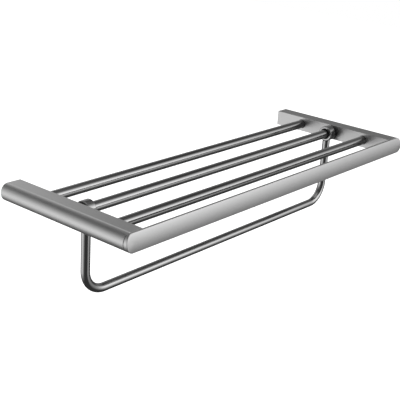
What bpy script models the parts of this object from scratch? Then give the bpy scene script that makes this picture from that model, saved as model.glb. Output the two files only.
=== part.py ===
# Wall towel shelf: two hollow side arms, a front bar, three shelf rods and a swinging towel rail.
# Units are metres. X runs along the rods, +Y is towards the wall and +Z is up.
# The wall plane is y = 0, and the rods' axes lie at z = 0.

import bpy
import bmesh
from math import cos, pi, sin
from mathutils import Matrix, Vector

# Overall form
overall_length = 0.620
arm_height = 0.024
arm_flat_width = 0.020
arm_round_reach = 0.011
arm_length = 0.217
arm_wall = 0.003
edge_round = 0.0006

# Front bar
bar_rim_thickness = 0.0045
bar_crown = 0.0013
bar_lean = 0.0013
bar_edge_round = 0.0003
tenon_length = 0.012

# Shelf rods and the sockets that hold them
rod_radius = 0.007
rod_wall = 0.0012
rear_rod_setback = 0.050
front_rod_setback = 0.047
rod_chamfer = 0.0005
socket_depth = 0.0088
socket_wall = 0.0022
rod_plug_length = 0.012

# Towel rail
rail_radius = 0.006
rail_wall = 0.001
rail_drop = 0.115
rail_bend_radius = 0.032

# Collars that hang the towel rail on the middle rod
collar_wall = 0.0033
collar_length = 0.013
collar_chamfer = 0.0008
collar_side_play = 0.0005
bush_wall = 0.0011
bush_recess = 0.0005
bush_spacer_length = 0.0055
leg_plug_length = 0.014
spigot_step = 0.0017

# Wall brackets
bracket_plate_thickness = 0.003
bracket_side_margin = 0.001
bracket_tongue_length = 0.026
bracket_tongue_thickness = 0.0035
wall_hole_radius = 0.00225
wall_hole_margin = 0.0011

# Grub screws
screw_radius = 0.002
screw_recess = 0.0005
screw_chamfer = 0.0003
hex_socket_radius = 0.00115
hex_depth_share = 0.4
lock_screw_bite = 0.0022

# Clearance between separate pieces, and how far a cut runs past a wall
fit_gap = 0.0003
cut_overrun = 0.002

# Roundness
rod_sides = 40
small_sides = 24
bore_sides = 16
outer_arc_steps = 24
inner_arc_steps = 12
corner_steps = 3
bend_steps = 10
crown_rings = 5

# Sizes that follow from the ones above
half_height = arm_height / 2
cavity_half_height = half_height - arm_wall
inner_face_x = overall_length / 2 - arm_flat_width - arm_round_reach
round_start_x = inner_face_x + arm_flat_width
bar_back_y = -(arm_length + fit_gap)
bar_rim_y = bar_back_y - bar_rim_thickness
rod_pitch = (arm_length - rear_rod_setback - front_rod_setback) / 2
rod_y = [-(rear_rod_setback + k * rod_pitch) for k in range(3)]
rod_half_length = inner_face_x + socket_depth - fit_gap
rod_bore = rod_radius - rod_wall
socket_radius = rod_radius + fit_gap
boss_radius = socket_radius + socket_wall
bush_bore = rod_radius + fit_gap
collar_bore = bush_bore + bush_wall + fit_gap
collar_radius = collar_bore + collar_wall
collar_middle_x = inner_face_x - collar_side_play - bush_spacer_length - collar_length / 2
rail_y = rod_y[1]
rail_bore = rail_radius - rail_wall
saddle_radius = collar_radius + fit_gap
screw_hole_radius = screw_radius + fit_gap
screw_bottom = screw_recess - half_height
lock_screw_x = inner_face_x + arm_flat_width / 2
tenon_bottom = fit_gap - cavity_half_height
front_lock_y = bar_back_y + tenon_length / 2
rear_lock_y = -(bracket_plate_thickness + bracket_tongue_length / 2)

# Directions
along_x = Vector((1.0, 0.0, 0.0))
from_wall = Vector((0.0, -1.0, 0.0))
upward = Vector((0.0, 0.0, 1.0))
sides = {"left": -1, "right": 1}

for old in list(bpy.data.objects):
    bpy.data.objects.remove(old)


def finish(name, colour, roughness, metallic):
    made = bpy.data.materials.new(name)
    made.use_nodes = True
    shader = made.node_tree.nodes["Principled BSDF"]
    shader.inputs["Base Color"].default_value = (*colour, 1.0)
    shader.inputs["Roughness"].default_value = roughness
    shader.inputs["Metallic"].default_value = metallic
    return made


def place(name, bm, material, origin):
    """One object from a bmesh in world places, with its own origin and its faces outward."""
    bmesh.ops.remove_doubles(bm, verts=bm.verts, dist=fit_gap / 1000)
    bmesh.ops.recalc_face_normals(bm, faces=bm.faces)
    bmesh.ops.translate(bm, vec=-Vector(origin), verts=bm.verts)
    mesh = bpy.data.meshes.new(name)
    bm.to_mesh(mesh)
    bm.free()
    if material is not None:
        mesh.materials.append(material)
        mesh.shade_smooth()
        mesh.set_sharp_from_angle(angle=pi / 6)
    made = bpy.data.objects.new(name, mesh)
    made.location = origin
    bpy.context.scene.collection.objects.link(made)
    return made


def change(target, tool, operation):
    """A live Boolean on target, with its tool left as a hidden helper."""
    tool.hide_render = True
    tool.display_type = "WIRE"
    step = target.modifiers.new(tool.name, "BOOLEAN")
    step.operation = operation
    step.solver = "EXACT"
    step.object = tool


def loft(name, loops, material=None, origin=(0.0, 0.0, 0.0)):
    """A closed body through loops of equal length, capped at both ends."""
    bm = bmesh.new()
    rings = [[bm.verts.new(point) for point in loop] for loop in loops]
    for near, far in zip(rings, rings[1:]):
        for k in range(len(near)):
            bm.faces.new((near[k - 1], near[k], far[k], far[k - 1]))
    bm.faces.new(rings[0])
    bm.faces.new(rings[-1])
    return place(name, bm, material, origin)


def turned(name, profile, centre, axis, steps, material=None):
    """A closed outline of (along, radius) pairs, turned once about an axis through centre."""
    bm = bmesh.new()
    outward = upward if axis.z == 0 else along_x
    corners = [bm.verts.new(Vector(centre) + axis * along + outward * radius) for along, radius in profile]
    edges = [bm.edges.new((corners[k - 1], corners[k])) for k in range(len(corners))]
    bmesh.ops.spin(bm, geom=corners + edges, cent=centre, axis=axis, angle=2 * pi,
                   steps=steps, use_merge=True, use_duplicate=False)
    bmesh.ops.remove_doubles(bm, verts=bm.verts, dist=fit_gap / 1000)
    bmesh.ops.dissolve_degenerate(bm, edges=bm.edges, dist=fit_gap / 1000)
    return place(name, bm, material, centre)


def box(name, low, high, material=None):
    """A rectangular body between two corners."""
    bm = bmesh.new()
    bmesh.ops.create_cube(bm, size=1.0)
    middle = (Vector(low) + Vector(high)) / 2
    stretch = Matrix.Diagonal((*(Vector(high) - Vector(low)), 1.0))
    bmesh.ops.transform(bm, matrix=Matrix.Translation(middle) @ stretch, verts=bm.verts)
    return place(name, bm, material, middle)


def round_tool(name, centre, axis, start, end, radius, steps=small_sides):
    """A plain cylinder to cut or join with."""
    return turned(name, [(start, 0.0), (start, radius), (end, radius), (end, 0.0)], centre, axis, steps)


def pin_outline(start, end, radius, chamfer):
    return [(start, 0.0), (start, radius - chamfer), (start + chamfer, radius),
            (end - chamfer, radius), (end, radius - chamfer), (end, 0.0)]


def pipe_outline(half_length, radius, bore, chamfer):
    """Outline of a pipe about its own middle, with its outer rims chamfered."""
    rim = half_length - chamfer
    return [(-half_length, bore), (-half_length, radius - chamfer), (-rim, radius),
            (rim, radius), (half_length, radius - chamfer), (half_length, bore)]


def arm_loop(inset, side, y, arc_steps):
    """The arm's D section, drawn inward by inset, at one y."""
    flat = inner_face_x + inset + edge_round
    half = half_height - inset
    reach = arm_round_reach - inset
    points = []
    for k in range(corner_steps + 1):
        angle = pi + k * pi / 2 / corner_steps
        points.append((flat + edge_round * cos(angle), edge_round - half + edge_round * sin(angle)))
    for k in range(arc_steps + 1):
        angle = -pi / 2 + k * pi / arc_steps
        points.append((round_start_x + reach * cos(angle), half * sin(angle)))
    for k in range(corner_steps + 1):
        angle = pi / 2 + k * pi / 2 / corner_steps
        points.append((flat + edge_round * cos(angle), half - edge_round + edge_round * sin(angle)))
    return [(side * x, y, z) for x, z in points]


def bar_loop(inset, y, lean=0.0, crown=0.0):
    """The front bar's pill outline, drawn inward by inset, at y.

    Its top leans back, and it swells forward by crown at mid height and not at all at top and bottom.
    """
    half = half_height - inset
    reach = arm_round_reach - inset
    points = []
    for side in sides.values():
        for k in range(outer_arc_steps + 1):
            angle = pi / 2 - k * pi / outer_arc_steps
            z = -side * half * sin(angle)
            share = z / half_height
            depth = y + lean * share - crown * (1 - share ** 2)
            points.append((side * (round_start_x + reach * cos(angle)), depth, z))
    return points


def screw_hole(target, x, y, top):
    """A round hole from under the arm up to one height."""
    drill = round_tool("screw_hole", (x, y, 0.0), upward, -half_height - cut_overrun, top, screw_hole_radius)
    change(target, drill, "DIFFERENCE")


def grub_screw(name, x, y, top):
    """A headless screw standing in its hole, with a hex socket in its lower end."""
    length = top - screw_bottom
    outline = pin_outline(0.0, length, screw_radius, screw_chamfer)
    screw = turned(name, outline, (x, y, screw_bottom), upward, small_sides, screw_steel)
    socket = round_tool("hex_socket", (x, y, screw_bottom), upward, -cut_overrun,
                        length * hex_depth_share, hex_socket_radius, 6)
    change(screw, socket, "DIFFERENCE")


def side_arm(label):
    """A hollow D section, open at the wall and at the front, with a blind socket for each rod."""
    side = sides[label]
    face = (side * inner_face_x, 0.0, 0.0)
    outer = [arm_loop(0.0, side, y, outer_arc_steps) for y in (0.0, -arm_length)]
    arm = loft(label + "_arm", outer, brushed_nickel, face)
    past = (cut_overrun, -arm_length - cut_overrun)
    cavity = loft("arm_cavity", [arm_loop(arm_wall, side, y, inner_arc_steps) for y in past])
    change(arm, cavity, "DIFFERENCE")
    into_arm = along_x * side
    for y in rod_y:
        centre = (face[0], y, 0.0)
        boss = round_tool("socket_boss", centre, into_arm, arm_wall / 2, socket_depth + socket_wall,
                          boss_radius, rod_sides)
        change(arm, boss, "UNION")
    for y in rod_y:
        centre = (face[0], y, 0.0)
        bore = round_tool("rod_socket", centre, into_arm, -cut_overrun, socket_depth, socket_radius, rod_sides)
        change(arm, bore, "DIFFERENCE")
        screw_hole(arm, side * (inner_face_x + socket_depth / 2), y, 0.0)
    for y in (front_lock_y, rear_lock_y):
        screw_hole(arm, side * lock_screw_x, y, -cavity_half_height / 2)


def front_bar():
    """A pill-shaped bar with a softly crowned, slightly leaning front and a tenon into each arm."""
    loops = [bar_loop(edge_round, bar_back_y), bar_loop(0.0, bar_back_y - edge_round),
             bar_loop(0.0, bar_rim_y + bar_edge_round, bar_lean, bar_crown)]
    for k in range(crown_rings):
        inset = bar_edge_round + (arm_round_reach - bar_edge_round - edge_round) * k / crown_rings
        loops.append(bar_loop(inset, bar_rim_y, bar_lean, bar_crown))
    # The last ring is flat, at the height the swell has at its own top and bottom
    last_inset = arm_round_reach - edge_round
    last_rise = bar_crown * (1 - (1 - last_inset / half_height) ** 2)
    loops.append(bar_loop(last_inset, bar_rim_y - last_rise, bar_lean))
    bar = loft("front_bar", loops, brushed_nickel, (0.0, bar_back_y, 0.0))
    for label, side in sides.items():
        span = (bar_back_y - bar_rim_thickness / 2, bar_back_y + tenon_length)
        tenon = loft("bar_tenon", [arm_loop(arm_wall + fit_gap, side, y, inner_arc_steps) for y in span])
        change(bar, tenon, "UNION")
    for label, side in sides.items():
        bite = tenon_bottom + lock_screw_bite
        screw_hole(bar, side * lock_screw_x, front_lock_y, bite + fit_gap)
        grub_screw(label + "_bar_screw", side * lock_screw_x, front_lock_y, bite)


def shelf_rod(label, y):
    """A round tube with a turned plug in each end, held by a screw under each arm."""
    outline = pipe_outline(rod_half_length, rod_radius, rod_bore, rod_chamfer)
    turned(label + "_shelf_rod", outline, (0.0, y, 0.0), along_x, rod_sides, satin_nickel)
    for hand, side in sides.items():
        end = (side * rod_half_length, y, 0.0)
        plug = pin_outline(-rod_plug_length, 0.0, rod_bore - fit_gap, rod_chamfer)
        turned(label + "_rod_" + hand + "_plug", plug, end, along_x * side, bore_sides, cast_zinc)
        grub_screw(label + "_rod_" + hand + "_screw", side * (inner_face_x + socket_depth / 2), y,
                   -rod_radius - fit_gap)


def wall_bracket(label):
    """A plate on the wall with two screw holes, and a tongue that the arm's screw bites into."""
    side = sides[label]
    half = cavity_half_height - bracket_side_margin
    near = inner_face_x + arm_wall + bracket_side_margin
    far = round_start_x + (arm_round_reach - arm_wall) / 3
    low_x, high_x = sorted((side * near, side * far))
    tongue_top = bracket_tongue_thickness - half
    plate = box(label + "_wall_bracket", (low_x, -bracket_plate_thickness, -half),
                (high_x, 0.0, half), cast_zinc)
    tongue_end = -(bracket_plate_thickness + bracket_tongue_length)
    tongue = box("bracket_tongue", (low_x, tongue_end, -half),
                 (high_x, -bracket_plate_thickness / 2, tongue_top))
    change(plate, tongue, "UNION")
    spread = (far - near) / 2 - wall_hole_radius - wall_hole_margin
    for shift in (-spread, spread):
        centre = ((low_x + high_x) / 2 + shift, 0.0, (half + tongue_top) / 2)
        drill = round_tool("wall_hole", centre, from_wall, -cut_overrun,
                           bracket_plate_thickness + cut_overrun, wall_hole_radius)
        change(plate, drill, "DIFFERENCE")
    screw_hole(plate, side * lock_screw_x, rear_lock_y, lock_screw_bite + fit_gap - half)
    grub_screw(label + "_bracket_screw", side * lock_screw_x, rear_lock_y, lock_screw_bite - half)


def rail_line(top):
    """Points along the U, from one leg's top down, across and up to the other's."""
    turn_x = collar_middle_x - rail_bend_radius
    turn_z = rail_bend_radius - rail_drop
    turns = [pi + k * pi / 2 / bend_steps for k in range(bend_steps + 1)]
    left = [(-turn_x + rail_bend_radius * cos(a), rail_y, turn_z + rail_bend_radius * sin(a)) for a in turns]
    right = [(-x, y, z) for x, y, z in reversed(left)]
    return [(-collar_middle_x, rail_y, top)] + left + right + [(collar_middle_x, rail_y, top)]


def swept(name, points, radius, steps, material=None):
    """A round bar along a line in the plane of the U, ring by ring, with capped ends."""
    last = len(points) - 1
    rings = []
    for k, point in enumerate(points):
        along = (Vector(points[min(k + 1, last)]) - Vector(points[max(k - 1, 0)])).normalized()
        outward = along.cross(from_wall)
        turns = [2 * pi * j / steps for j in range(steps)]
        rings.append([Vector(point) + radius * (outward * cos(a) + from_wall * sin(a)) for a in turns])
    return loft(name, rings, material, (0.0, rail_y, 0.0))


def rail_hanger(label, rail):
    """The collar, its bush, which also keeps it off the arm, and the stud that joins it to a leg."""
    side = sides[label]
    centre = (side * collar_middle_x, rail_y, 0.0)
    outward = along_x * side
    past_end = collar_length / 2 + cut_overrun
    saddle = round_tool("saddle", centre, outward, -past_end, past_end, saddle_radius, rod_sides)
    change(rail, saddle, "DIFFERENCE")
    outline = pipe_outline(collar_length / 2, collar_radius, collar_bore, collar_chamfer)
    collar = turned(label + "_rail_collar", outline, centre, outward, rod_sides, satin_nickel)
    plug_radius = rail_bore - fit_gap
    spigot_radius = plug_radius - spigot_step
    port = round_tool("spigot_port", centre, upward, -collar_radius - cut_overrun, -bush_bore,
                      spigot_radius + fit_gap)
    change(collar, port, "DIFFERENCE")
    inner_end = bush_recess - collar_length / 2
    outer_end = collar_length / 2 + bush_spacer_length
    bush_radius = bush_bore + bush_wall
    sleeve = [(inner_end, bush_bore), (inner_end, bush_radius), (outer_end, bush_radius),
              (outer_end, bush_bore)]
    bush = turned(label + "_collar_bush", sleeve, centre, outward, rod_sides, black_nylon)
    stud = [(-saddle_radius - leg_plug_length, 0.0), (-saddle_radius - leg_plug_length, plug_radius),
            (-saddle_radius, plug_radius), (-saddle_radius, spigot_radius),
            (-collar_bore - fit_gap, spigot_radius), (-collar_bore - fit_gap, 0.0)]
    plug = turned(label + "_leg_plug", stud, centre, upward, bore_sides, cast_zinc)
    return [collar, bush, plug]


brushed_nickel = finish("brushed_gunmetal_nickel", (0.42, 0.42, 0.41), 0.28, 1.0)
satin_nickel = finish("satin_gunmetal_nickel", (0.44, 0.44, 0.43), 0.16, 1.0)
cast_zinc = finish("bare_cast_zinc", (0.33, 0.34, 0.35), 0.5, 1.0)
black_nylon = finish("black_nylon", (0.012, 0.012, 0.013), 0.45, 0.0)
screw_steel = finish("screw_steel", (0.25, 0.25, 0.26), 0.35, 1.0)

for label in sides:
    side_arm(label)
    wall_bracket(label)
front_bar()
for label, y in zip(("rear", "middle", "front"), rod_y):
    shelf_rod(label, y)

towel_rail = swept("towel_rail", rail_line(0.0), rail_radius, small_sides, satin_nickel)
change(towel_rail, swept("rail_bore", rail_line(cut_overrun), rail_bore, bore_sides), "DIFFERENCE")
swinging = [towel_rail]
for label in sides:
    swinging += rail_hanger(label, towel_rail)

# The rail's hinge line is the middle rod's axis
pivot = bpy.data.objects.new("towel_rail_pivot", None)
pivot.location = (0.0, rail_y, 0.0)
bpy.context.scene.collection.objects.link(pivot)
bpy.context.view_layer.update()
for piece in swinging:
    piece.parent = pivot
    piece.matrix_parent_inverse = pivot.matrix_world.inverted()
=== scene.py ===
# %% [markdown]
# # A wall towel shelf with a swinging rail, dressed for its picture
# The object is a bathroom shelf for towels. Two side arms stand out from the wall, three round tubes and
# a tall front bar join them, and a U of thinner tube swings below on two collars.
# The engineering model of every part is loaded first and stays fixed. This script lays finer surfaces
# over it, gives each one a finish like the real one's, and builds a small photo studio around it.
# Every surface here is a formula on a whole grid of points at once, worked out with numpy.

import bpy
import bmesh
import numpy as np
from mathutils import Matrix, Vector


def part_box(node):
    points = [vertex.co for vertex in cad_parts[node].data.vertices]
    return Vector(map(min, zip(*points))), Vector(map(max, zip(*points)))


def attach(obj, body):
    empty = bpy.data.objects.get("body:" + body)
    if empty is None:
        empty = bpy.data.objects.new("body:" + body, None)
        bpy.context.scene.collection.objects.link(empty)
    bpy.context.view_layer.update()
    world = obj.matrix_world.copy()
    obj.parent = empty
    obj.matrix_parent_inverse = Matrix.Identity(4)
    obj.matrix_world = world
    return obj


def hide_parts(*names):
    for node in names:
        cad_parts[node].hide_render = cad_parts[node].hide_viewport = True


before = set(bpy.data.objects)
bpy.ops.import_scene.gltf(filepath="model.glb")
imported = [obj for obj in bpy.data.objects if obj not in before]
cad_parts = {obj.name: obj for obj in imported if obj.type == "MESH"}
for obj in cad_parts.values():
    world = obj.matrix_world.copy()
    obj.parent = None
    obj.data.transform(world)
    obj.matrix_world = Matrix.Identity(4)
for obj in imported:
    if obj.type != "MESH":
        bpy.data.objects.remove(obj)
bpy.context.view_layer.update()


def in_mm(metres):
    return (1000 * np.array(metres)).round(1).tolist()


# %% [markdown]
# ## Sizes
# The pieces must sit exactly where the engineering model has them, so the main sizes are read from its
# parts: a part's lowest and highest corners give a tube's radius, an arm's height or the place of a
# hinge line. What a box can't tell, such as a wall thickness or a rounded edge, is typed in, in metres,
# where it is first needed.

# %% Read the main sizes
def corners(node):
    low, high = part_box(node)
    return np.array(low), np.array(high)


arm_low, arm_high = corners("right_arm")
half_height = arm_high[2]
half_length = arm_high[0]
inner_face_x = arm_low[0]
arm_length = -arm_low[1]

rod_high = corners("rear_shelf_rod")[1]
rod_radius = rod_high[2]
rod_half_length = rod_high[0]
rod_y = {label: float(np.mean([corner[1] for corner in corners(label + "_shelf_rod")]))
         for label in ("rear", "middle", "front")}
hinge_y = rod_y["middle"]

rail_low, rail_high = corners("towel_rail")
rail_radius = (rail_high[1] - rail_low[1]) / 2
rail_drop = -rail_low[2] - rail_radius

collar_low, collar_high = corners("right_rail_collar")
collar_radius = collar_high[2]
collar_middle_x = (collar_low[0] + collar_high[0]) / 2
collar_half = (collar_high[0] - collar_low[0]) / 2

bush_low, bush_high = corners("right_collar_bush")
bush_radius = bush_high[2]
bush_middle_x = (bush_low[0] + bush_high[0]) / 2
bush_half = (bush_high[0] - bush_low[0]) / 2

sides = {"left": -1, "right": 1}
print("arm, mm:", in_mm(arm_high - arm_low), "rods at y, mm:", in_mm(list(rod_y.values())))

# %% [markdown]
# ## A skin over a grid
# Most metal goods are a profile carried along a path: a tube is a circle carried along a line, a collar
# is a small outline carried round a circle. Both give a grid of points, one ring after another.
# Blender's own screw and sweep tools could make them, but a grid worked out as one array is exact and
# quick, and knows how far each point is along and round the piece, which the brushed finishes need.

# %% Turn a grid into a closed surface
def skin(name, grid, join_ends=False):
    """A closed mesh from grid[i, j], which is place j on ring i.

    Quad (i, j) joins places (i, j), (i, j+1), (i+1, j+1) and (i+1, j), and j closes on itself.
    join_ends joins the last ring to the first; otherwise each end gets one flat face.
    The sum of a . (b x c) over the faces is six times the volume, and if it is negative every face is
    turned round. The UV map holds metres: first the summed steps from ring to ring, then the summed
    steps round a ring. On an end face it holds x and z.
    """
    rings, places = grid.shape[:2]
    steps_on = np.linalg.norm(np.roll(grid, -1, 0) - grid, axis=2).max(axis=1)
    steps_round = np.linalg.norm(np.roll(grid, -1, 1) - grid, axis=2).max(axis=0)
    on = np.concatenate([[0], np.cumsum(steps_on)])
    around = np.concatenate([[0], np.cumsum(steps_round)])
    i, j = np.meshgrid(np.arange(rings if join_ends else rings - 1), np.arange(places), indexing="ij")
    ring = np.stack([i, i, i + 1, i + 1], -1).reshape(-1, 4)
    place = np.stack([j, j + 1, j + 1, j], -1).reshape(-1, 4)
    faces = ((ring % rings) * places + place % places).tolist()
    map_places = np.stack([on[ring], around[place]], -1).tolist()
    points = grid.reshape(-1, 3)
    if not join_ends:
        last = (rings - 1) * places
        faces += [list(range(places))[::-1], list(range(last, last + places))]
        map_places += [points[face][:, [0, 2]].tolist() for face in faces[-2:]]
    centred = points - points.mean(axis=0)
    volume = sum(float(np.einsum("ij,ij->", np.tile(centred[face[0]], (len(face) - 2, 1)),
                                 np.cross(centred[face[1:-1]], centred[face[2:]])))
                 for face in faces) / 6
    if volume < 0:
        faces = [face[::-1] for face in faces]
        map_places = [face[::-1] for face in map_places]
    mesh = bpy.data.meshes.new(name)
    mesh.from_pydata(points.tolist(), [], faces)
    layer = mesh.uv_layers.new(name="metres")
    layer.data.foreach_set("uv", np.concatenate([np.array(face).ravel() for face in map_places]))
    made = bpy.data.objects.new(name, mesh)
    bpy.context.scene.collection.objects.link(made)
    return made


# %% [markdown]
# ## Turned shapes
# A lathe turns a profile about an axis. Tubes, collars, bushes and every drill below are made like that:
# a short list of places gives the profile, and the circle comes from the sine and the cosine of one array.

# %% Turn an outline about an axis
def turn(name, outline, centre, axis, places, join_ends=True):
    """The outline's (along, radius) pairs turned about an axis.

    Each point is centre + axis * along + radius * (p * cos t + q * sin t), p and q square to the axis.
    """
    axis = np.array(axis, float)
    p = np.array([0.0, 0.0, 1.0]) if abs(axis[2]) < 0.5 else np.array([1.0, 0.0, 0.0])
    q = np.cross(axis, p)
    along, radius = np.array(outline, float).T
    t = np.arange(places) * 2 * np.pi / places
    circle = p * np.cos(t)[:, None] + q * np.sin(t)[:, None]
    grid = np.array(centre) + axis * along[:, None, None] + radius[:, None, None] * circle
    return skin(name, grid, join_ends)


def bow(centre, radius, start, end, steps=5):
    """A circular arc in the plane of an outline: centre + radius * (cos t, sin t), t in degrees."""
    t = np.radians(np.linspace(start, end, steps))
    return np.stack([centre[0] + radius * np.cos(t), centre[1] + radius * np.sin(t)], -1)


round_places, hole_places = 96, 48


def rod_cutter(name, x, y, start, end, radius, axis=(0, 0, 1), places=hole_places):
    """A plain round bar through (x, y, 0), from start to end along the axis."""
    return turn(name, [(start, radius), (end, radius)], (x, y, 0.0), axis, places, join_ends=False)


print("places round a tube:", round_places, "and round a drilled hole:", hole_places)

# %% [markdown]
# ## Soft light on hard edges
# A real metal edge is never perfectly sharp: a hair of radius catches the light as a bright line.
# The rounded edges are in the grids. Weighted Normal then keeps the flats flat in the light,
# so that only the narrow rounding turns, and it needs no extra faces.
# Sockets and screw holes are drilled with Booleans, which are made final at once, so no helper stays.

# %% Finish and drill
large_faces_count_more = 60


def even_light(piece, limit=35.0):
    """Smooth light, with a sharp edge wherever two faces meet at more than limit degrees."""
    piece.data.shade_smooth()
    piece.data.set_sharp_from_angle(angle=np.radians(limit))
    step = piece.modifiers.new("flats_stay_flat", "WEIGHTED_NORMAL")
    step.keep_sharp = True
    step.weight = large_faces_count_more
    return piece


def drill(piece, tools):
    """Each tool is cut from or joined to the piece in turn, and the result becomes its own mesh."""
    for tool, operation in tools:
        step = piece.modifiers.new(tool.name, "BOOLEAN")
        step.operation, step.solver, step.object = operation, "EXACT", tool
    bpy.context.view_layer.update()
    done = bpy.data.meshes.new_from_object(piece.evaluated_get(bpy.context.evaluated_depsgraph_get()))
    piece.modifiers.clear()
    piece.data = done
    for tool, _ in tools:
        bpy.data.objects.remove(tool)
    print(piece.name, "has", len(done.polygons), "faces after", len(tools), "tools")
    return piece


def stand_for(piece, node, body):
    """The piece moves with a body of the engineering model and is seen instead of one of its nodes."""
    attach(piece, body)
    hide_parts(node)


# %% [markdown]
# ## The shelf tubes
# Three drawn tubes, 14 mm across, cross the shelf. Their ends are turned to a small radius so that they
# slip into the arms' sockets. The outline goes along the outside and comes back along the bore, and is
# turned once about the tube's axis, so each tube has a real wall.

# %% Three shelf tubes
rod_wall, rod_edge = 0.0012, 0.0005


def tube_outline():
    """(along, radius) places: the outside with both rims rounded by rod_edge, and back along the bore."""
    along, out = rod_half_length - rod_edge, rod_radius - rod_edge
    bore = rod_radius - rod_wall
    return np.concatenate([bow((-along, out), rod_edge, 180, 90), bow((along, out), rod_edge, 90, 0),
                           [(rod_half_length, bore), (-rod_half_length, bore)]])


pieces = {}
for label, y in rod_y.items():
    name = label + "_tube"
    pieces[name] = even_light(turn(name, tube_outline(), (0.0, y, 0.0), (1, 0, 0), round_places))
    stand_for(pieces[name], label + "_shelf_rod", "shelf")
print("tubes:", list(pieces))

# %% [markdown]
# ## The swinging rail
# One thinner tube is bent twice into a U. Its two upper ends are cut to a saddle, the curve where a round
# leg meets a round collar, so no light shows between them.
# A curve object with a bevel would give the bend, but not the saddle or the bore, so the circle is
# carried along the line as a grid: down one leg, round the bend, across, and up the other leg.

# %% The U of tube
rail_wall, rail_bend_radius = 0.001, 0.032
bend_rings, rail_places = 33, 64
leg_ring_z = (-0.018, -0.023)
fit_gap = 0.0003
saddle_radius = collar_radius + fit_gap


def rail_grid():
    """Ring i is P(i) + r * (cos t * n(i) + sin t * y): P runs along the U, and n points out of the U.

    The legs' first rings follow the saddle, z = -sqrt(R^2 - (r sin t)^2), with R the collar's radius
    and a gap. The outside comes first, then the bore, back the other way.
    """
    bend = np.radians(np.linspace(180, 270, bend_rings))
    turn_x, turn_z = collar_middle_x - rail_bend_radius, rail_bend_radius - rail_drop
    leg_z = np.array([-saddle_radius, *leg_ring_z])
    x = np.concatenate([np.full(len(leg_z), -collar_middle_x), -turn_x + rail_bend_radius * np.cos(bend)])
    z = np.concatenate([leg_z, turn_z + rail_bend_radius * np.sin(bend)])
    nx = np.concatenate([np.full(len(leg_z), -1.0), np.cos(bend)])
    nz = np.concatenate([np.zeros(len(leg_z)), np.sin(bend)])
    x, z = np.concatenate([x, -x[::-1]]), np.concatenate([z, z[::-1]])
    nx, nz = np.concatenate([nx, -nx[::-1]]), np.concatenate([nz, nz[::-1]])
    t = np.arange(rail_places) * 2 * np.pi / rail_places
    layers = []
    for radius in (rail_radius, rail_radius - rail_wall):
        ring = np.zeros((len(x), len(t), 3))
        ring[..., 0] = x[:, None] + radius * nx[:, None] * np.cos(t)
        ring[..., 1] = hinge_y + radius * np.sin(t)
        ring[..., 2] = z[:, None] + radius * nz[:, None] * np.cos(t)
        saddle = -np.sqrt(saddle_radius ** 2 - (radius * np.sin(t)) ** 2)
        ring[0, :, 2] = ring[-1, :, 2] = saddle
        layers.append(ring)
    return np.concatenate([layers[0], layers[1][::-1]])


rail = even_light(skin("swinging_towel_rail", rail_grid(), join_ends=True))
stand_for(rail, "towel_rail", "swinging_rail")
pieces["towel_rail"] = rail
print("rail box, mm:", in_mm([rail.bound_box[0], rail.bound_box[6]]))

# %% [markdown]
# ## The collars and their bushes
# Each leg hangs from a short turned collar round the middle tube. Its outer rims are rounded over on the
# lathe and its end is a flat ring, which catches the light. A thin black nylon bush inside keeps metal
# off metal. It is almost flush with the collar's inner end, and at the outer end it runs on to the arm
# and keeps the collar off it. A hole from below lets the leg's stud into the collar's bore.

# %% Collars and bushes
collar_wall, collar_edge, collar_lip = 0.0033, 0.0012, 0.0003
bush_wall, bush_edge = 0.0011, 0.0003
bush_places, bush_limit = 72, 50.0
stud_clear_radius, past_bush = 0.0033, 0.001
past_wall = 0.002


def collar_outline():
    """(along, radius) places: two outer rims rounded by collar_edge, and a bore with two small lips."""
    outer, out = collar_half - collar_edge, collar_radius - collar_edge
    bore, lip = collar_radius - collar_wall, collar_lip
    return np.concatenate([bow((-outer, out), collar_edge, 180, 90, 7),
                           bow((outer, out), collar_edge, 90, 0, 7),
                           [(collar_half, bore + lip), (collar_half - lip, bore),
                            (lip - collar_half, bore), (-collar_half, bore + lip)]])


def bush_outline():
    """(along, radius) places of a plain ring with its four edges cut off by bush_edge."""
    bore, edge = bush_radius - bush_wall, bush_edge
    return [(-bush_half, bore + edge), (-bush_half, bush_radius - edge), (edge - bush_half, bush_radius),
            (bush_half - edge, bush_radius), (bush_half, bush_radius - edge), (bush_half, bore + edge),
            (bush_half - edge, bore), (edge - bush_half, bore)]


for label, side in sides.items():
    centre = (side * collar_middle_x, hinge_y, 0.0)
    bush_centre = (side * bush_middle_x, hinge_y, 0.0)
    collar = turn(label + "_collar", collar_outline(), centre, (1, 0, 0), round_places)
    port = rod_cutter("port", centre[0], hinge_y, -collar_radius - past_wall, -bush_radius + past_bush,
                      stud_clear_radius)
    pieces[label + "_collar"] = even_light(drill(collar, [(port, "DIFFERENCE")]))
    bush = turn(label + "_bush", bush_outline(), bush_centre, (1, 0, 0), bush_places)
    pieces[label + "_bush"] = even_light(bush, bush_limit)
    stand_for(pieces[label + "_collar"], label + "_rail_collar", "swinging_rail")
    stand_for(pieces[label + "_bush"], label + "_collar_bush", "swinging_rail")

# %% [markdown]
# ## The side arms
# Each arm is a hollow casting with a D section: a flat inner face and a flat top and bottom, then half an
# ellipse on the outside. A fine shoulder marks where the flat top ends and the round side starts.
# The section is carried from the wall to the front. One function of the section also gives the hollow
# and the front bar's tenons, which are the same section drawn inward.

# %% The D section carried to the front
round_reach = 0.011
round_start_x = half_length - round_reach
arm_corner, flat_sink, shoulder_width = 0.0006, 0.00016, 0.0010


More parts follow.
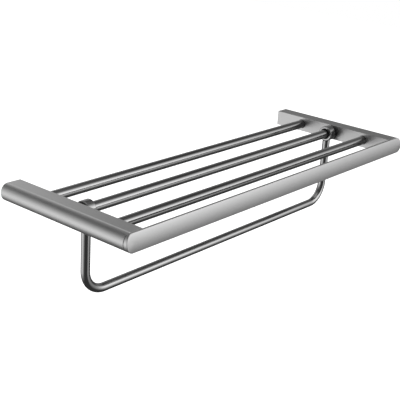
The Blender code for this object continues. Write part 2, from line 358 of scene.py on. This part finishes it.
def d_section(inset, side):
    """(x, z) places of the section, drawn inward by inset, for side 1 on the right or -1 on the left.

    Two corner arcs and the inner face, a flat sunk by flat_sink, a shoulder that rises again by
    flat_sink * (1 - cos(pi * share)) / 2, and the half ellipse x = start + reach * cos t,
    z = half * sin t, for t from 90 to -90 degrees; the lower half mirrors the upper one.
    """
    half, reach, left = half_height - inset, round_reach - inset, inner_face_x + inset
    flat = half - flat_sink
    corner = bow((left + arm_corner, flat - arm_corner), arm_corner, 180, 90, 7)
    share = np.linspace(0, 1, 7)
    shoulder = np.stack([round_start_x - shoulder_width * (1 - share) * 0.5 - shoulder_width * 0.5,
                         flat + flat_sink * (1 - np.cos(np.pi * share)) / 2], -1)
    t = np.radians(np.linspace(90, 0, 41))
    ellipse = np.stack([round_start_x + reach * np.cos(t), half * np.sin(t)], -1)
    upper = np.concatenate([corner, shoulder, ellipse])
    lower = upper[::-1][1:] * (1, -1)
    section = np.concatenate([upper, lower])
    return section * (side, 1)


def carried(name, side, insets, y):
    """The section drawn inward by insets[k] at y[k]."""
    grid = np.zeros((len(y), len(d_section(0.0, side)), 3))
    for k, inset in enumerate(insets):
        grid[k, :, [0, 2]] = d_section(inset, side).T
        grid[k, :, 1] = y[k]
    return skin(name, grid)


print("the arm's section has", len(d_section(0.0, 1)), "places")

# %% [markdown]
# ## What is cut into the arms
# The casting comes out of its mould hollow and open at both ends. Three bosses inside the inner wall take
# the tubes, and screws from below hold the tubes, the front bar and the wall bracket. The hollow is the
# section drawn inward by the wall. The other tools are plain turned shapes: first the bosses are joined,
# then the sockets, each with a small chamfer, and the screw holes are cut.

# %% Hollow, sockets and screw holes
arm_wall, arm_end_round = 0.003, 0.0005
socket_radius = rod_radius + fit_gap
socket_depth, socket_wall, boss_places = 0.0088, 0.0022, 64
mouth_chamfer, screw_hole_radius = 0.0003, 0.0023
bracket_plate, bracket_tongue, tenon_length = 0.003, 0.026, 0.012
bar_back_y = -arm_length - fit_gap


def screw_drill(x, y, top):
    """A drill from below, flared where it leaves the metal."""
    flare, mouth = screw_hole_radius + mouth_chamfer, flat_sink - half_height
    outline = [(-half_height - past_wall, flare), (mouth, flare),
               (mouth + mouth_chamfer, screw_hole_radius), (top, screw_hole_radius)]
    return turn("screw_drill", outline, (x, y, 0.0), (0, 0, 1), hole_places, join_ends=False)


def arm_tools(side):
    """What shapes an arm, in order: the hollow, three bosses, sockets with screw holes, two locks."""
    tools = [(carried("hollow", side, [arm_wall, arm_wall], [past_wall, -arm_length - past_wall]),
              "DIFFERENCE")]
    for y in rod_y.values():
        boss = rod_cutter("boss", side * inner_face_x, y, arm_wall / 2, socket_depth + socket_wall,
                          socket_radius + socket_wall, (side, 0, 0), boss_places)
        tools.append((boss, "UNION"))
    flare = socket_radius + mouth_chamfer
    outline = [(-past_wall, flare), (0, flare), (mouth_chamfer, socket_radius),
               (socket_depth, socket_radius)]
    for y in rod_y.values():
        socket = turn("socket", outline, (side * inner_face_x, y, 0.0), (side, 0, 0), round_places,
                      join_ends=False)
        tools.append((socket, "DIFFERENCE"))
        tools.append((screw_drill(side * (inner_face_x + socket_depth / 2), y, 0.0), "DIFFERENCE"))
    lock_x = side * (inner_face_x + round_start_x) / 2
    for y in (bar_back_y + tenon_length / 2, -(bracket_plate + bracket_tongue / 2)):
        tools.append((screw_drill(lock_x, y, -half_height / 2), "DIFFERENCE"))
    return tools


def arm(label):
    """At both ends the section is drawn in by r * (1 - sin a) over a depth of r * (1 - cos a)."""
    a = np.radians(np.linspace(0, 90, 5))
    draw_in, back = arm_end_round * (1 - np.sin(a)), arm_end_round * (1 - np.cos(a))
    made = carried(label + "_arm_casting", sides[label], np.concatenate([draw_in, draw_in[::-1]]),
                   np.concatenate([-back, back[::-1] - arm_length]))
    return even_light(drill(made, arm_tools(sides[label])))


for label in sides:
    pieces[label + "_arm"] = arm(label)
    stand_for(pieces[label + "_arm"], label + "_arm", "shelf")

# %% [markdown]
# ## The front bar
# The bar is a tall pill seen from the front. Its face swells softly from top to bottom, the same all
# along, and leans back a little, so the rim is a plain band that is thin on top and deeper below, and
# deepest between the middle and the bottom. The lean and the swell make the upper edge bright and the
# lower one dark, in straight bands up to the ends.
# It is a family of pills, each a smaller share of the one before, all laid on the one swelling face and
# ending in a line along the middle.

# %% The pill and its swelling face
bar_rim, bar_lean, bar_crown = 0.0045, 0.0013, 0.00128
bar_rim_y = bar_back_y - bar_rim
bar_edge, bar_back_edge = 0.0005, 0.0005


def pill(share, inset):
    """(x, z) places: half ellipses of reach and height (size - inset) * share about two centres."""
    t = np.radians(np.linspace(90, -90, 49))
    reach, half = (round_reach - inset) * share, (half_height - inset) * share
    right = np.stack([round_start_x + reach * np.cos(t), half * np.sin(t)], -1)
    return np.concatenate([right, -right])


def bar_face(z):
    """y of the face: rim + lean * u - crown * (1 - u^2), where u is z / half_height."""
    u = z / half_height
    return bar_rim_y + bar_lean * u - bar_crown * (1 - u ** 2)


def laid(places, y):
    """The (x, z) places as points at depth y."""
    return np.stack([places[:, 0], np.broadcast_to(y, len(places)), places[:, 1]], -1)


def bar_grid():
    """Rings from the back edge over the rim, round its front edge and in to the middle of the face.

    An edge of radius r draws the pill in by r * (1 - sin a) and sets it r * (1 - cos a) deep.
    """
    rings = []
    for a in np.radians(np.linspace(0, 90, 5)):
        places = pill(1.0, bar_back_edge * (1 - np.sin(a)))
        rings.append(laid(places, bar_back_y - bar_back_edge * (1 - np.cos(a))))
    for a in np.radians(np.linspace(0, 90, 7)):
        places = pill(1.0, bar_edge * (1 - np.cos(a)))
        rings.append(laid(places, bar_face(places[:, 1]) + bar_edge * (1 - np.sin(a))))
    for share in np.linspace(1, 0, 25)[1:]:
        places = pill(share, bar_edge)
        rings.append(laid(places, bar_face(places[:, 1])))
    return np.array(rings)


rim_depth = bar_back_y - bar_face(half_height * np.array([1.0, 0.0, -0.5, -1.0]))
print("rim, mm, at the top, the middle, half way down from there and the bottom:", in_mm(rim_depth))

# %% [markdown]
# ## The bar's tenons
# On the back a short tenon goes into each arm's hollow, and a screw from under the arm bites into it.
# The tenons are the arm's own section drawn inward by its wall and a small gap, joined to the bar, and
# each screw's seat is drilled into them. The last ring of the face has no height, so its double points
# are merged first.

# %% The whole bar
screw_bite, same_point = 0.0022, 1e-7


def front_bar():
    """The grid's skin, its double points merged, with two tenons joined and their seats drilled."""
    bar = skin("front_bar_casting", bar_grid())
    tools = []
    for side in sides.values():
        y = [bar_back_y - bar_rim / 2, bar_back_y + tenon_length]
        tools.append((carried("tenon", side, [arm_wall + fit_gap] * 2, y), "UNION"))
    for side in sides.values():
        x, y = side * (inner_face_x + round_start_x) / 2, bar_back_y + tenon_length / 2
        seat = rod_cutter("screw_seat", x, y, -half_height - past_wall,
                          fit_gap * 2 + screw_bite + arm_wall - half_height, screw_hole_radius)
        tools.append((seat, "DIFFERENCE"))
    bm = bmesh.new()
    bm.from_mesh(bar.data)
    bmesh.ops.remove_doubles(bm, verts=bm.verts, dist=same_point)
    bm.to_mesh(bar.data)
    bm.free()
    return even_light(drill(bar, tools))


pieces["front_bar"] = front_bar()
stand_for(pieces["front_bar"], "front_bar", "shelf")

# %% [markdown]
# ## Colours
# A colour picker shows sRGB values, but a shader adds light, so it needs linear ones.
# One function turns a hex value to linear: c / 12.92 up to 0.04045, else ((c + 0.055) / 1.055) ^ 2.4.

# %% From hex to linear, and one way to add a node
def linear(code):
    c = np.array([int(code[k:k + 2], 16) for k in (0, 2, 4)]) / 255
    return (*np.where(c <= 0.04045, c / 12.92, ((c + 0.055) / 1.055) ** 2.4).tolist(), 1.0)


def add(tree, kind, inputs, **settings):
    """One node: its settings, then for each input socket a value or the socket that feeds it."""
    node = tree.nodes.new("ShaderNode" + kind)
    for name, value in settings.items():
        setattr(node, name, value)
    for name, value in inputs.items():
        if isinstance(value, bpy.types.NodeSocket):
            tree.links.new(value, node.inputs[name])
        else:
            node.inputs[name].default_value = value
    return node


def new_material(name):
    made = bpy.data.materials.new(name)
    made.use_nodes = True
    made.node_tree.nodes.clear()
    return made, made.node_tree


print("mid grey 808080 is linear", round(linear("808080")[0], 3))

# %% [markdown]
# ## Worked metal
# Abrasive belts, polishing wheels and lathe tools all leave grooves along one direction. One function
# makes every such metal: noise stretched along the grooves shifts the colour and the roughness a little
# and gives a very shallow bump. The piece's own UV map in metres says which way along is, so the grooves
# keep their size and direction round a bend.

# %% One function for every worked metal
groove_share, cloud_share = 0.8, 0.2
cloud_scale = 60.0
quarter_turn = 0.25


def worked_metal(name, light, dark, rough, groove_mm, stroke_mm, depth_mm, across=0.0, turned=False,
                 painted_light=None):
    """Metal whose grooves run along the first UV direction, or round the piece when it was turned.

    The pattern is groove_share * lines + cloud_share * clouds, both noise. across blurs reflections
    more across the grooves than along them, and the last argument, when given, mixes a painted highlight
    into the colour.
    """
    made, tree = new_material(name)
    place = add(tree, "UVMap", {}, uv_map="metres")
    stroke, groove = 1000 / stroke_mm, 1000 / groove_mm
    scale = (groove, stroke, 1.0) if turned else (stroke, groove, 1.0)
    stretch = add(tree, "Mapping", {"Vector": place.outputs[0], "Scale": scale})
    lines = add(tree, "TexNoise", {"Vector": stretch.outputs[0], "Scale": 1.0, "Detail": 3.0,
                                   "Roughness": 0.65}, noise_dimensions="2D")
    cloud = add(tree, "TexNoise", {"Vector": place.outputs[0], "Scale": cloud_scale, "Detail": 2.0},
                noise_dimensions="2D")
    cloud_part = add(tree, "Math", {0: cloud.outputs[0], 1: cloud_share}, operation="MULTIPLY")
    both = add(tree, "Math", {0: lines.outputs[0], 1: groove_share, 2: cloud_part.outputs[0]},
               operation="MULTIPLY_ADD")
    colour = add(tree, "Mix", {0: both.outputs[0], 6: linear(dark), 7: linear(light)},
                 data_type="RGBA").outputs[2]
    # Where it is given, a painted highlight is mixed into the colour here.
    if painted_light:
        colour = painted_light(tree, colour)
    roughness = add(tree, "MapRange", {0: both.outputs[0], 1: 0.2, 2: 0.8, 3: rough[0], 4: rough[1]})
    bump = add(tree, "Bump", {"Height": lines.outputs[0], "Distance": depth_mm / 1000,
                              "Strength": 1.0})
    shader = add(tree, "BsdfPrincipled", {"Base Color": colour, "Metallic": 1.0,
                                          "Roughness": roughness.outputs[0], "Normal": bump.outputs[0]})
    if across:
        tangent = add(tree, "Tangent", {}, direction_type="UV_MAP", uv_map="metres")
        shader.inputs["Anisotropic"].default_value = across
        shader.inputs["Anisotropic Rotation"].default_value = quarter_turn
        tree.links.new(tangent.outputs[0], shader.inputs["Tangent"])
    add(tree, "OutputMaterial", {"Surface": shader.outputs[0]})
    return made


# %% [markdown]
# ## Brushed nickel plate
# The arms and the bar are zinc castings, nickel plated in a gun-metal grey and brushed with a fine
# abrasive belt. Brushing leaves grooves a few hundredths of a millimetre apart, far too fine to show, so
# they are drawn about 0.5 mm apart. They blur a reflection across the grooves much more than along them,
# which is what the anisotropic part of the shader does. The grooves follow each grid's first direction:
# along the arms, and on the bar from its rim in to the middle line, so up and down its face.

# %% The bar's finish
brushed = {"light": "C8C8C8", "dark": "BBBBBB", "rough": (0.30, 0.40), "groove_mm": 0.5, "stroke_mm": 30,
           "depth_mm": 0.004, "across": 0.5}
brushed_nickel_plate = worked_metal("brushed_nickel_plate", **brushed)
print("made", brushed_nickel_plate.name)

# %% [markdown]
# ## The painted highlight on the shoulder
# On the arms a line at the start of the round side is brighter than the rest, and more so to the front.
# Towels pulled over that edge could rub it bright, but that is a guess.
# This is a painted highlight: a brighter colour stands in for the light that the rounded edge catches.
# The line has no edge in the real surface, so it is a brighter colour mixed in softly by place, not a
# shape and not a second piece.

# %% The arms' finish
# The painted highlight: a line this wide about this x, in this brighter colour.
painted_highlight_half_width = 0.0020
painted_highlight_middle_x = round_start_x + shoulder_width
painted_highlight_colour = "F4F4F4"


def painted_highlight(tree, colour):
    """The share of the painted highlight's colour is (1 - |abs(x) - middle| / half width) * (-y / arm
    length).

    x and y are Object coordinates, and both factors are held between 0 and 1.
    """
    place = add(tree, "SeparateXYZ", {0: add(tree, "TexCoord", {}).outputs["Object"]})
    x = add(tree, "Math", {0: place.outputs[0]}, operation="ABSOLUTE")
    off = add(tree, "Math", {0: x.outputs[0], 1: painted_highlight_middle_x}, operation="SUBTRACT")
    off = add(tree, "Math", {0: off.outputs[0]}, operation="ABSOLUTE")
    near = add(tree, "MapRange", {0: off.outputs[0], 1: 0.0, 2: painted_highlight_half_width, 3: 1.0, 4: 0.0})
    front = add(tree, "MapRange", {0: place.outputs[1], 1: 0.0, 2: -arm_length, 3: 0.0, 4: 1.0})
    share = add(tree, "Math", {0: near.outputs[0], 1: front.outputs[0]}, operation="MULTIPLY")
    return add(tree, "Mix", {0: share.outputs[0], 6: colour, 7: linear(painted_highlight_colour)},
               data_type="RGBA").outputs[2]


# The arms' brushed plate with the painted highlight mixed into its colour.
nickel_plate_with_painted_highlight = worked_metal("nickel_plate_with_painted_highlight", **brushed, painted_light=painted_highlight)
print("rubbed line at x, mm:", in_mm(painted_highlight_middle_x), "half as wide as", in_mm(painted_highlight_half_width))

# %% [markdown]
# ## Satin nickel tube
# The tubes and the rail were polished on a wheel before plating, so they mirror the studio more sharply
# than the arms do: a crisp bright band between two dark ones. The collars are turned on a lathe, with
# grooves round them.

# %% Tube and collar
satin_nickel_tube = worked_metal("satin_nickel_tube", light="B0B0B0", dark="A7A7A7", rough=(0.14, 0.20),
                                 groove_mm=0.4, stroke_mm=60, depth_mm=0.0015)
turned_nickel = worked_metal("turned_nickel", light="B0B0B0", dark="A2A2A2", rough=(0.18, 0.26),
                             groove_mm=0.4, stroke_mm=12, depth_mm=0.002, turned=True)
print("made", satin_nickel_tube.name, "and", turned_nickel.name)

# %% [markdown]
# ## What is hidden inside
# The wall brackets and the plugs in the tubes' ends are zinc castings that were never plated: dull, with
# the faint orange-peel skin of the mould. The bushes are moulded from black nylon with a fine eroded
# grain. The screws under the arms are plated steel. None of them has a direction of its own, and most
# are the engineering model's own meshes without a UV map, so their patterns read Object coordinates.

# %% Zinc, nylon and screw steel
mottle_scale = 150.0


def grained(name, light, dark, rough, grain_mm, depth_mm, metal):
    """A cast or moulded skin: noise with bumps grain_mm apart and depth_mm deep."""
    made, tree = new_material(name)
    place = add(tree, "TexCoord", {})
    grain = add(tree, "TexNoise", {"Vector": place.outputs["Object"], "Scale": 1000 / grain_mm,
                                   "Detail": 4.0})
    cloud = add(tree, "TexNoise", {"Vector": place.outputs["Object"], "Scale": mottle_scale,
                                   "Detail": 2.0})
    colour = add(tree, "Mix", {0: cloud.outputs[0], 6: linear(dark), 7: linear(light)},
                 data_type="RGBA")
    roughness = add(tree, "MapRange", {0: grain.outputs[0], 1: 0.3, 2: 0.7, 3: rough[0], 4: rough[1]})
    bump = add(tree, "Bump", {"Height": grain.outputs[0], "Distance": depth_mm / 1000,
                              "Strength": 1.0})
    shader = add(tree, "BsdfPrincipled", {"Base Color": colour.outputs[2], "Metallic": metal,
                                          "Roughness": roughness.outputs[0], "Normal": bump.outputs[0]})
    add(tree, "OutputMaterial", {"Surface": shader.outputs[0]})
    return made


bare_cast_zinc = grained("bare_cast_zinc", light="A6A8AA", dark="8C8E90", rough=(0.42, 0.60),
                         grain_mm=0.8, depth_mm=0.02, metal=1.0)
moulded_black_nylon = grained("moulded_black_nylon", light="3C3C3D", dark="2E2E2F", rough=(0.40, 0.55),
                              grain_mm=0.4, depth_mm=0.01, metal=0.0)
plated_screw_steel = grained("plated_screw_steel", light="9A9A9B", dark="858586", rough=(0.28, 0.40),
                             grain_mm=0.5, depth_mm=0.004, metal=1.0)
print("made", bare_cast_zinc.name, moulded_black_nylon.name, plated_screw_steel.name)

# %% [markdown]
# ## Every piece gets its finish
# On the real shelf each kind of part is finished in one go before it is put together, so one table from
# kind to finish is enough. The last word of a piece's name says its kind. The hidden parts are meshes of
# the engineering model, and their own slots take the new finishes.

# %% Give every piece its finish
# The arms take the brushed plate with the painted highlight on the shoulder.
finish_of = {"tube": satin_nickel_tube, "rail": satin_nickel_tube, "collar": turned_nickel,
             "bush": moulded_black_nylon, "arm": nickel_plate_with_painted_highlight, "bar": brushed_nickel_plate}
for name, piece in pieces.items():
    piece.data.materials.clear()
    piece.data.materials.append(finish_of[name.split("_")[-1]])

hidden = {"screw": plated_screw_steel, "plug": bare_cast_zinc, "bracket": bare_cast_zinc}
for name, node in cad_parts.items():
    kind = name.split("_")[-1]
    if kind in hidden:
        node.material_slots[0].material = hidden[kind]
print("finished pieces:", len(pieces))

# %% [markdown]
# ## The studio
# Shiny metal shows its surroundings, so a photographer hangs a cloth tent round it and lights the cloth.
# The tent here is a large ball of cloth that only reflections see. It glows faintly all over, more at the
# top, and most where soft boxes shine through it.
# The main one is a long strip in front, laid along the tubes. A tube mirrors it at the same height all
# along its length only if the strip's edges run along X too, so its edges are angles of roll round X.
# A panel on the left lights the arm's round side, a smaller one at the back lights the arms' flat tops,
# and a faint one on the right fills in. Low at the back the cloth is dark, which gives each tube its dark
# outline. The glow is a number kept on the tent's own points, the sum of soft boxes, each a product of
# smooth steps.

# %% Soft boxes by direction
def soft_step(x):
    """x^2 * (3 - 2x), with x held between 0 and 1."""
    x = np.clip(x, 0, 1)
    return x * x * (3 - 2 * x)


def between(angle, low, high, soft_low, soft_high):
    """1 from low to high, falling smoothly to 0 over the soft widths about both, in degrees."""
    return soft_step((angle - low) / soft_low + 0.5) * (1 - soft_step((angle - high) / soft_high + 0.5))


def panel(azimuth, elevation, middle, half_wide, soft_side, low, high, soft_low, soft_high):
    """A soft box by directions in degrees: azimuth 0 is in front, 90 on the right."""
    turn_away = np.abs((azimuth - middle + 180) % 360 - 180)
    return (1 - soft_step((turn_away - half_wide) / soft_side + 0.5)) * between(
        elevation, low, high, soft_low, soft_high)


cloth_glow = 0.065
top_glow, top_edge, top_soft = 0.70, 65, 40
strip_glow, strip_roll, strip_lean = 2.34, (-8, 42, 105, 76), (5, 56, 10, 48)
panels = [
    (1.50, {"middle": 235, "half_wide": 32, "soft_side": 60,
            "low": -31, "high": 11, "soft_low": 47, "soft_high": 80}),
    (1.26, {"middle": 163, "half_wide": 15, "soft_side": 62,
            "low": 8, "high": 41, "soft_low": 20, "soft_high": 30}),
    (0.23, {"middle": 84, "half_wide": 45, "soft_side": 18,
            "low": 0, "high": 31, "soft_low": 24, "soft_high": 23}),
]
print("soft boxes: 1 strip and", len(panels), "panels")

# %% [markdown]
# ## The tent
# A real tent hangs close to the goods. This one is 3 m in radius, so that all the parts mirror nearly the
# same lights. It is one ball worked out from two angles, and every kind of ray but a glossy one passes
# through it, so it only shows in reflections.

# %% Hang the tent
tent_radius = 3.0
highest, tent_rings, tent_step = 89.9, 121, 3.0


def tent(centre, radius):
    """A point is centre + radius * (sin a * cos e, -cos a * cos e, sin e), a azimuth and e elevation.

    Roll is the angle round the X axis, 0 in front and 90 above, and lean is how far a direction turns
    to +X.
    """
    elevation, azimuth = np.meshgrid(np.linspace(-highest, highest, tent_rings),
                                     np.arange(0, 360, tent_step), indexing="ij")
    e, a = np.radians(elevation), np.radians(azimuth)
    way = np.stack([np.sin(a) * np.cos(e), -np.cos(a) * np.cos(e), np.sin(e)], -1)
    made = skin("cloth_tent", way * radius + np.array(centre))
    roll, lean = np.degrees(np.arctan2(way[..., 2], -way[..., 1])), np.degrees(np.arcsin(way[..., 0]))
    glow = cloth_glow + top_glow * soft_step((elevation - top_edge) / top_soft + 0.5)
    glow += strip_glow * between(roll, *strip_roll) * between(lean, *strip_lean)
    for strength, place in panels:
        glow += strength * panel(azimuth, elevation, **place)
    layer = made.data.attributes.new("glow", "FLOAT", "POINT")
    layer.data.foreach_set("value", glow.ravel().astype(np.float32))
    made.data.shade_smooth()
    for kind in ("camera", "diffuse", "transmission", "volume_scatter", "shadow"):
        setattr(made, "visible_" + kind, False)
    cloth, tree = new_material("tent_cloth")
    shine = add(tree, "Emission",
                {"Strength": add(tree, "Attribute", {}, attribute_name="glow").outputs["Fac"]})
    add(tree, "OutputMaterial", {"Surface": shine.outputs[0]})
    made.data.materials.append(cloth)
    print("tent glow from", round(float(glow.min()), 2), "to", round(float(glow.max()), 2))


shelf_middle = (0.0, -arm_length / 2, -rail_drop / 2)
tent(shelf_middle, tent_radius)

# %% [markdown]
# ## Floor and backdrop
# The shelf hangs on a wall that the picture doesn't show: behind it all is white. The floor is far below,
# pale and plain. It is lit like anything else and so keeps the shelf's soft shadow. Rays from the camera,
# and those that metal or glass send on, also see it glow, which makes it white without more light on the
# shelf. The world does the same: a soft grey light on everything, and plain white where it is seen.

# %% Floor and world
floor_z, floor_half, floor_cells = -3.2, 20.0, 24
floor_glow, room_glow = 0.75, 0.8


def seen_directly(tree):
    """1 for camera, glossy and transmission rays."""
    path = add(tree, "LightPath", {})
    first = add(tree, "Math", {0: path.outputs["Is Camera Ray"], 1: path.outputs["Is Glossy Ray"]},
                operation="MAXIMUM")
    return add(tree, "Math", {0: first.outputs[0], 1: path.outputs["Is Transmission Ray"]},
               operation="MAXIMUM").outputs[0]


def pale_paint():
    """Matt paint with a faint speckle, which also glows where it is seen directly."""
    paint, tree = new_material("pale_matt_paint")
    speckle = add(tree, "TexNoise", {"Vector": add(tree, "TexCoord", {}).outputs["Object"],
                                     "Scale": 400.0})
    colour = add(tree, "Mix", {0: speckle.outputs[0], 6: linear("F0F0F0"), 7: linear("F6F6F6")},
                 data_type="RGBA")
    matt = add(tree, "BsdfDiffuse", {"Color": colour.outputs[2]})
    seen = add(tree, "Math", {0: seen_directly(tree), 1: floor_glow}, operation="MULTIPLY")
    shine = add(tree, "Emission", {"Strength": seen.outputs[0]})
    both = add(tree, "AddShader", {0: matt.outputs[0], 1: shine.outputs[0]})
    add(tree, "OutputMaterial", {"Surface": both.outputs[0]})
    return paint


def floor(z, half, cells):
    """A square of cells x cells faces at height z; cell k joins points k, k+1, k+n+1 and k+n, n a row."""
    row = cells + 1
    x, y = np.meshgrid(np.linspace(-half, half, row), np.linspace(-half, half, row))
    points = np.stack([x.ravel(), y.ravel(), np.full(x.size, z)], -1)
    k = np.arange(cells)[:, None] * row + np.arange(cells)
    faces = np.stack([k, k + 1, k + row + 1, k + row], -1).reshape(-1, 4)
    mesh = bpy.data.meshes.new("pale_floor")
    mesh.from_pydata(points.tolist(), [], faces.tolist())
    mesh.materials.append(pale_paint())
    made = bpy.data.objects.new("pale_floor", mesh)
    bpy.context.scene.collection.objects.link(made)


floor(floor_z, floor_half, floor_cells)

world = bpy.data.worlds.new("white_room")
bpy.context.scene.world = world
world.use_nodes = True
tree = world.node_tree
tree.nodes.clear()
room = add(tree, "Background", {"Color": linear("F2F2F2"), "Strength": room_glow})
white = add(tree, "Background", {"Color": (1.0, 1.0, 1.0, 1.0), "Strength": 1.0})
mixed = add(tree, "MixShader", {0: seen_directly(tree), 1: room.outputs[0], 2: white.outputs[0]})
add(tree, "OutputWorld", {"Surface": mixed.outputs[0]})
print("floor at z, m:", floor_z)

# %% [markdown]
# ## The lamp
# The tent's glow is seen by reflections alone, so a soft box in front on the right lights what isn't
# metal, such as the bushes and the floor. It is turned to the middle of the shelf and hidden from
# reflections, which would show its rectangle.

# %% One soft box
lamp_wide, lamp_high, lamp_watts = 2.0, 1.2, 40.0
lamp_place = (1.6, -2.0, 1.9)

lamp_data = bpy.data.lights.new("front_soft_box", "AREA")
lamp_data.shape, lamp_data.size, lamp_data.size_y = "RECTANGLE", lamp_wide, lamp_high
lamp_data.energy = lamp_watts
lamp = bpy.data.objects.new("front_soft_box", lamp_data)
lamp.location = lamp_place
away = np.array(lamp.location) - np.array(shelf_middle)
side_way = np.cross((0.0, 0.0, 1.0), away)
turned_to = np.stack([side_way, np.cross(away, side_way), away])
turned_to = turned_to / np.linalg.norm(turned_to, axis=1)[:, None]
lamp.rotation_euler = Matrix(turned_to.T.tolist()).to_euler()
lamp.visible_glossy = False
bpy.context.scene.collection.objects.link(lamp)
print("lamp, m from the shelf:", round(float(np.linalg.norm(away)), 2))

# %% [markdown]
# ## The camera
# The picture was taken from the left and a little above, with a fairly long lens. Position, direction and
# focal length were worked out together from the shelf's straight edges. The camera is tipped sideways by
# about 4 degrees, and its three directions follow from yaw, pitch and roll.

# %% Camera
yaw, pitch, roll = np.radians([51.305, 20.263, 3.882])
camera_place = (-0.97331, -0.87053, 0.40193)
focal_px, picture_px, sensor_mm = 906.78, 400, 36.0
picture_shift, sight_m = -0.03, 100.0

forward = np.array([np.sin(yaw) * np.cos(pitch), np.cos(yaw) * np.cos(pitch), -np.sin(pitch)])
level = np.array([np.cos(yaw), -np.sin(yaw), 0.0])
lift = np.cross(level, forward)
right = np.cos(roll) * level + np.sin(roll) * lift
up = np.cos(roll) * lift - np.sin(roll) * level
camera_data = bpy.data.cameras.new("camera")
camera_data.sensor_width = sensor_mm
camera_data.lens = focal_px / picture_px * sensor_mm
camera_data.shift_x = picture_shift
camera_data.clip_end = sight_m
camera = bpy.data.objects.new("camera", camera_data)
columns = np.stack([right, up, -forward, camera_place], 1)
camera.matrix_world = Matrix(np.vstack([columns, [0, 0, 0, 1]]).tolist())
bpy.context.scene.collection.objects.link(camera)
bpy.context.scene.camera = camera
bpy.context.scene.view_settings.view_transform = "Standard"
print("lens, mm:", round(camera_data.lens, 2))
